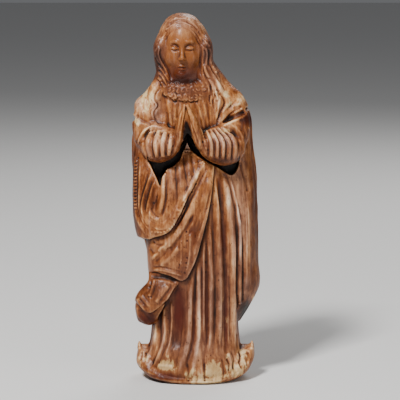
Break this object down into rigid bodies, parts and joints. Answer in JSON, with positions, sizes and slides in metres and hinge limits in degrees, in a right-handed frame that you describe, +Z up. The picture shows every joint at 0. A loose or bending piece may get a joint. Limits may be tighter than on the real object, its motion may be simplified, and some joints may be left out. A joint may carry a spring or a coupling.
{
  "type": "ivory immaculate conception figure",
  "caption": "Carved ivory figure of a standing woman in a hooded mantle and pleated tunic, hands joined in prayer, on a small crescent base; it stands free as a small devotional statue.",
  "frame": {"origin": "middle of the flat foot under the crescent, on the ground", "axes": "+Z up, the figure faces -Y, +X is to the viewer's right when the viewer faces it"},
  "size_m": [0.0707, 0.0472, 0.2],
  "materials": {
    "ivory": "semi-gloss, aged brown patina"
  },
  "bodies": {
    "root": {"figure": "ivory"}
  },
  "joints": []
}
